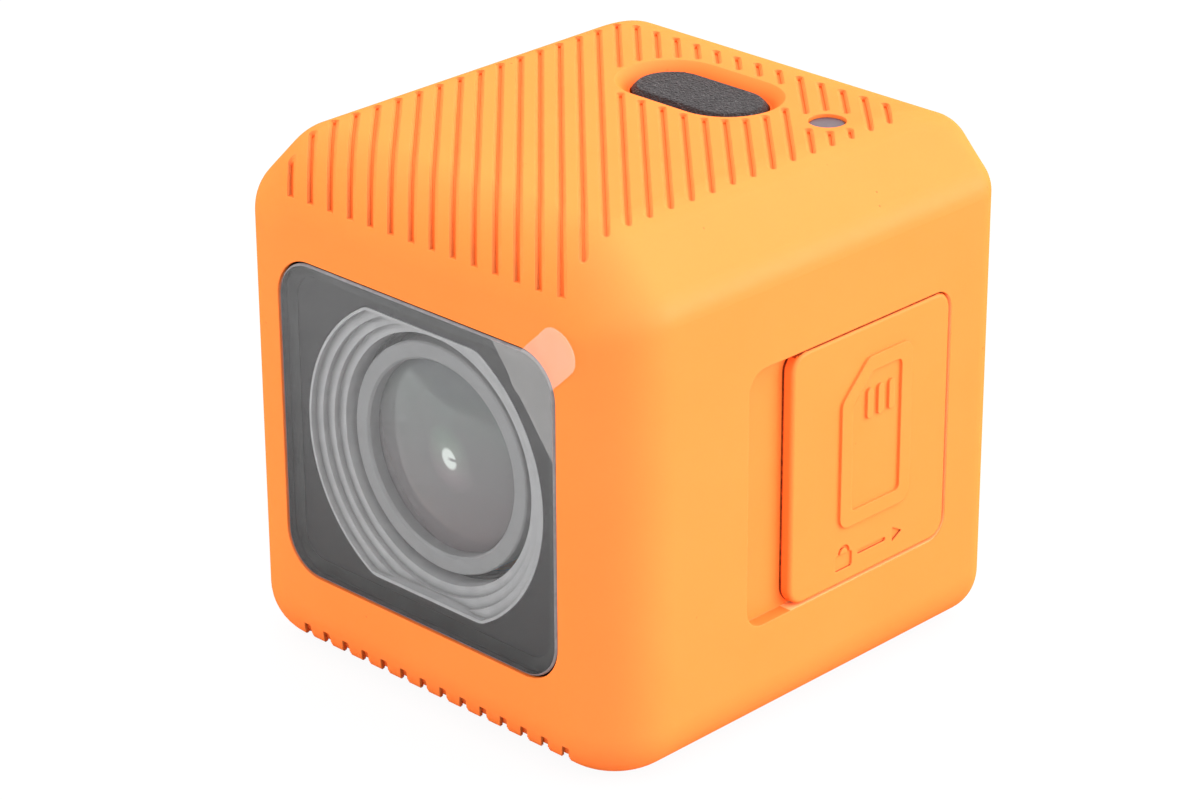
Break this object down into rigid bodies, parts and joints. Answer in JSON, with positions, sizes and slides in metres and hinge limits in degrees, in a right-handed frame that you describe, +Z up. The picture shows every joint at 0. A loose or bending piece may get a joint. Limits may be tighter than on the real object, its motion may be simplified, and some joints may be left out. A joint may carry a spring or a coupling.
{
  "type": "action camera",
  "caption": "Small cube action camera with a flat window over a stepped lens hood, a top shutter button and a sliding side door over its ports.",
  "frame": {"origin": "middle of the flat underside, on the resting plane", "axes": "+Z up, the lens looks along -Y, the sliding door is on +X, the shutter button is on top"},
  "size_m": [0.0368, 0.0379, 0.038],
  "materials": {
    "shell": "soft-touch rubberised orange",
    "door": "soft-touch rubberised orange",
    "silicone": "soft silicone",
    "black_steel": "black oxide",
    "steel": "plain steel",
    "window": "polished flat glass",
    "adhesive": "thin black bonding tape",
    "bezel": "dark satin, finely brushed",
    "film": "clear transit film",
    "film_tab": "milky translucent film",
    "hood": "fine matte grey",
    "lens_ring": "satin anodised",
    "optic": "coated optical glass",
    "filter": "infrared cut coating",
    "barrel": "black anodised",
    "black_plastic": "glass filled nylon",
    "white_plastic": "moulded",
    "sensor": "ceramic package with cover glass",
    "board": "solder mask",
    "chip": "moulded package",
    "thermal": "thermal pad",
    "tin": "tinned sheet",
    "flex": "polyimide film",
    "card": "memory card",
    "battery": "foil pouch",
    "foam": "closed cell foam",
    "button": "fine grained rubber",
    "light_pipe": "smoky translucent",
    "mesh": "woven acoustic mesh"
  },
  "bodies": {
    "housing": {"antenna": "flex", "battery": "battery", "battery_pad": "foam", "battery_plug": "white_plastic", "board_flex": "flex", "button_board": "board", "button_flex": "flex", "button_seal": "silicone", "chassis_screws": "steel", "film_pull_tab": "film_tab", "image_sensor": "sensor", "inner_chassis": "black_plastic", "ir_filter": "filter", "led_light_pipe": "light_pipe", "lens_barrel": "barrel", "lens_front_element": "optic", "lens_hood": "hood", "lens_inner_element": "optic", "lens_lock_ring": "barrel", "lens_mount": "black_plastic", "lens_rear_element": "optic", "lens_retaining_ring": "lens_ring", "lens_spacer": "barrel", "main_board": "board", "main_case": "shell", "microphone": "tin", "microphone_mesh": "mesh", "microsd_socket": "tin", "processor": "chip", "rear_cover": "shell", "rear_cover_gasket": "silicone", "rear_cover_screws": "black_steel", "sensor_board": "board", "sensor_screws": "steel", "shield_can": "tin", "status_led": "white_plastic", "tactile_switch": "tin", "thermal_pad": "thermal", "usb_c_socket": "steel", "usb_c_tongue": "black_plastic", "window_adhesive": "adhesive", "window_bezel": "bezel", "window_film": "film", "window_glass": "window"},
    "shutter": {"shutter_button": "button", "switch_plunger": "white_plastic"},
    "door": {"side_door": "door", "door_seal": "silicone"},
    "card": {"microsd_card": "card", "card_ejector": "black_plastic"}
  },
  "joints": [
    {"name": "shutter_press", "type": "slide", "parent": "housing", "child": "shutter", "axis": [0, 0, -1], "range_m": [0, 0.0004], "stiffness_N_per_m": 4000},
    {"name": "door_slide", "type": "slide", "parent": "housing", "child": "door", "axis": [0, -1, 0], "range_m": [0, 0.004]},
    {"name": "card_push", "type": "slide", "parent": "housing", "child": "card", "axis": [-1, 0, 0], "range_m": [0, 0.0007], "stiffness_N_per_m": 1500}
  ]
}
